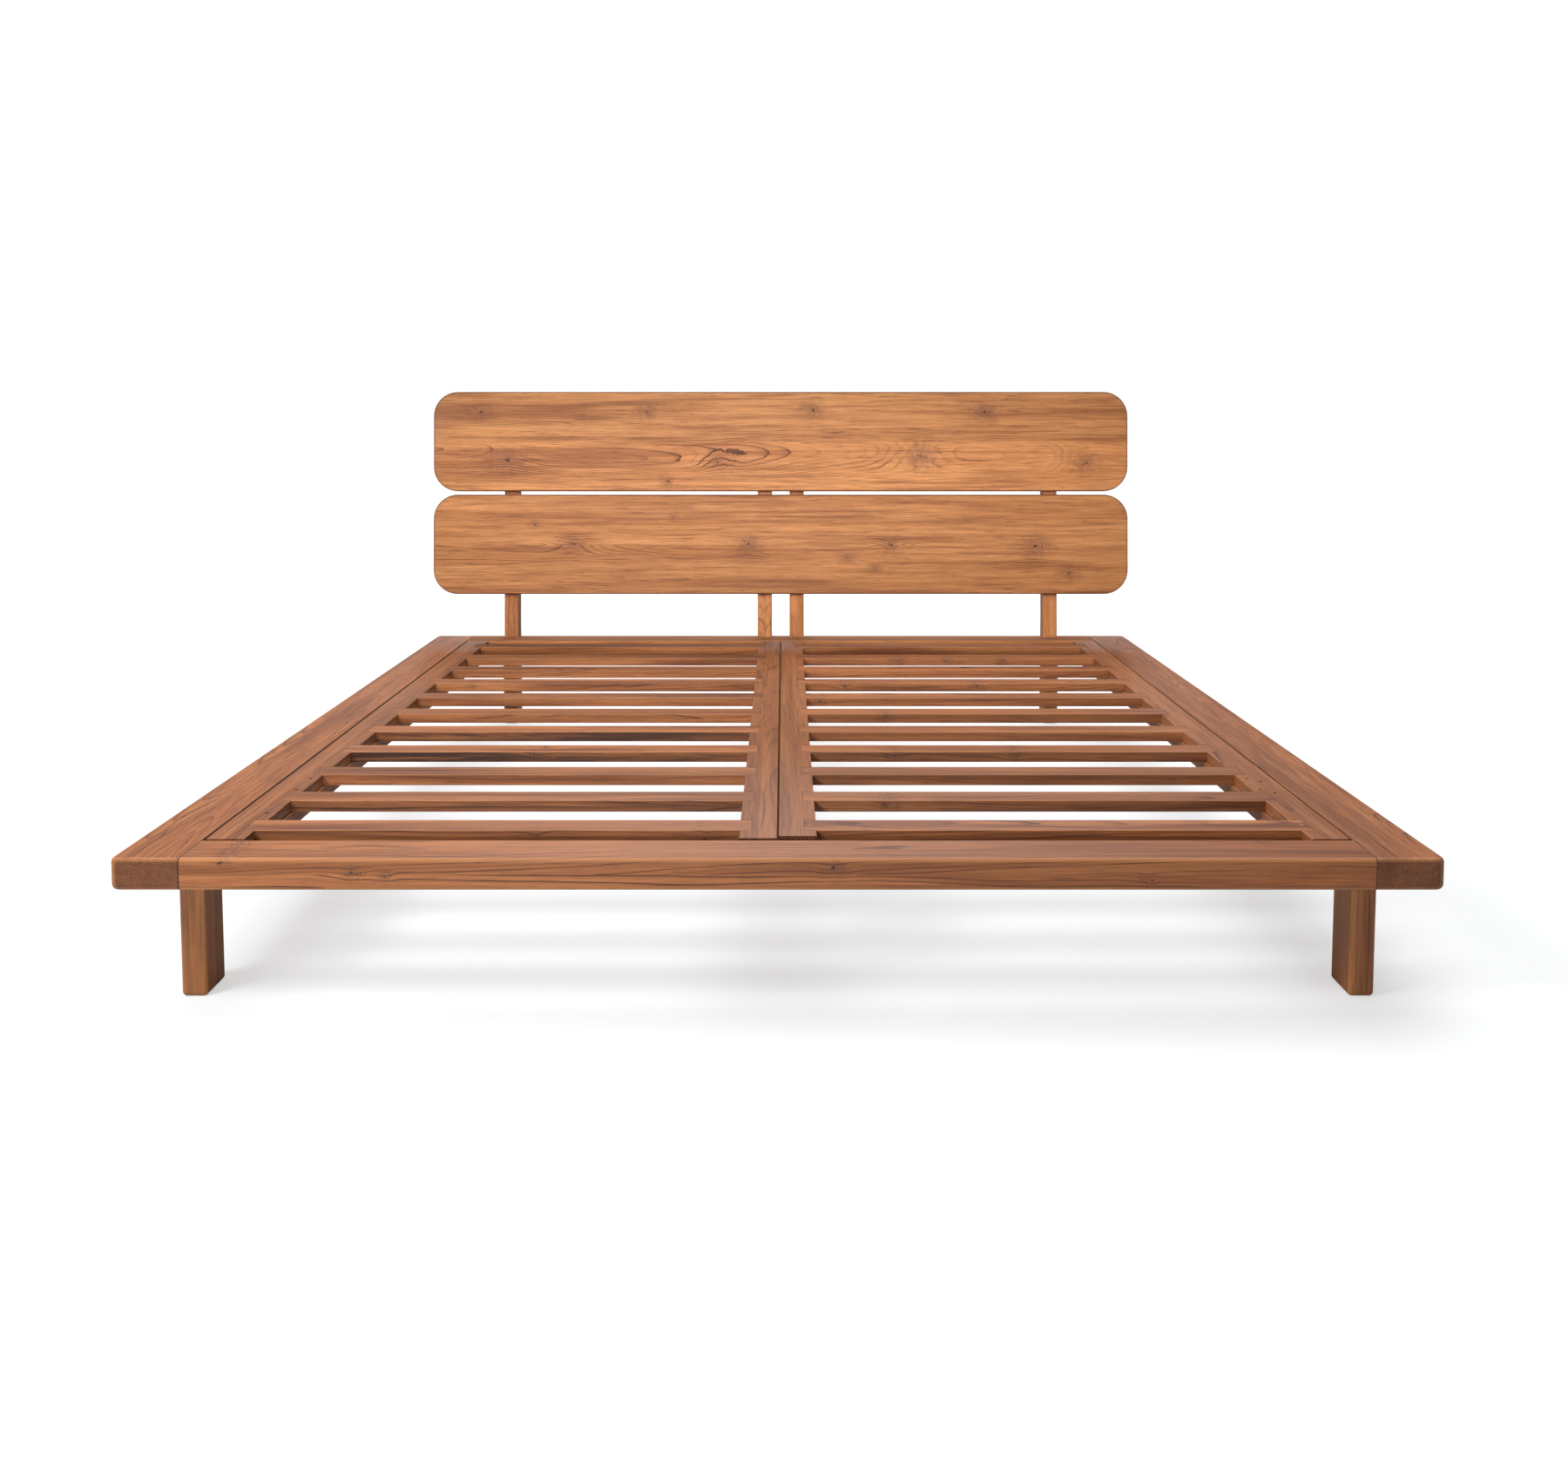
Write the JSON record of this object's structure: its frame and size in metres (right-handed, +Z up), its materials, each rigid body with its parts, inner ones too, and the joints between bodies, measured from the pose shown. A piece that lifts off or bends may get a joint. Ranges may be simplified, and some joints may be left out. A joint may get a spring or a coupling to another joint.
{
  "type": "bed frame",
  "caption": "Low solid-wood platform bed frame with wide edge boards, two drop-in slatted bases and a reclined headboard of two rounded panels on leg-posts.",
  "frame": {"origin": "on the floor, in the middle of the plan outline (the headboard's lean included)", "axes": "+X to the right seen from the foot end, +Y from the foot end to the head end, +Z up"},
  "size_m": [2.01, 2.282, 0.9613],
  "materials": {
    "teak_board": "matt oil",
    "teak_panel": "matt oil",
    "teak_slat": "matt oil",
    "teak_stile": "matt oil",
    "teak_leg": "matt oil",
    "teak_bearer": "sanded",
    "teak_plug": "matt oil",
    "zinc_steel": "zinc plated"
  },
  "bodies": {
    "platform": {"beam_hanger_foot": "zinc_steel", "beam_hanger_head": "zinc_steel", "beam_hanger_screws": "zinc_steel", "centre_beam": "teak_bearer", "centre_leg_foot_end": "teak_leg", "centre_leg_head_end": "teak_leg", "corner_plate_screws": "zinc_steel", "corner_plates": "zinc_steel", "foot_rail": "teak_board", "front_leg_left": "teak_leg", "front_leg_right": "teak_leg", "head_rail": "teak_board", "headboard_panel_lower": "teak_panel", "headboard_panel_upper": "teak_panel", "ledger_left": "teak_bearer", "ledger_right": "teak_bearer", "ledger_screws": "zinc_steel", "leg_bolts": "zinc_steel", "leg_post_inner_left": "teak_leg", "leg_post_inner_right": "teak_leg", "leg_post_outer_left": "teak_leg", "leg_post_outer_right": "teak_leg", "panel_screws": "zinc_steel", "post_barrel_nuts": "zinc_steel", "post_bolts": "zinc_steel", "side_board_left": "teak_board", "side_board_right": "teak_board"},
    "left_base": {"left_base_inner_stile": "teak_stile", "left_base_lap_plugs": "teak_plug", "left_base_lap_screws": "zinc_steel", "left_base_outer_stile": "teak_stile", "left_base_slat_01": "teak_slat", "left_base_slat_02": "teak_slat", "left_base_slat_03": "teak_slat", "left_base_slat_04": "teak_slat", "left_base_slat_05": "teak_slat", "left_base_slat_06": "teak_slat", "left_base_slat_07": "teak_slat", "left_base_slat_08": "teak_slat", "left_base_slat_09": "teak_slat", "left_base_slat_10": "teak_slat", "left_base_slat_11": "teak_slat"},
    "right_base": {"right_base_inner_stile": "teak_stile", "right_base_lap_plugs": "teak_plug", "right_base_lap_screws": "zinc_steel", "right_base_outer_stile": "teak_stile", "right_base_slat_01": "teak_slat", "right_base_slat_02": "teak_slat", "right_base_slat_03": "teak_slat", "right_base_slat_04": "teak_slat", "right_base_slat_05": "teak_slat", "right_base_slat_06": "teak_slat", "right_base_slat_07": "teak_slat", "right_base_slat_08": "teak_slat", "right_base_slat_09": "teak_slat", "right_base_slat_10": "teak_slat", "right_base_slat_11": "teak_slat"}
  },
  "joints": [
    {"name": "left_base_lift_out", "type": "slide", "parent": "platform", "child": "left_base", "axis": [0, 0, 1], "range_m": [0, 0.3]},
    {"name": "right_base_lift_out", "type": "slide", "parent": "platform", "child": "right_base", "axis": [0, 0, 1], "range_m": [0, 0.3]}
  ]
}
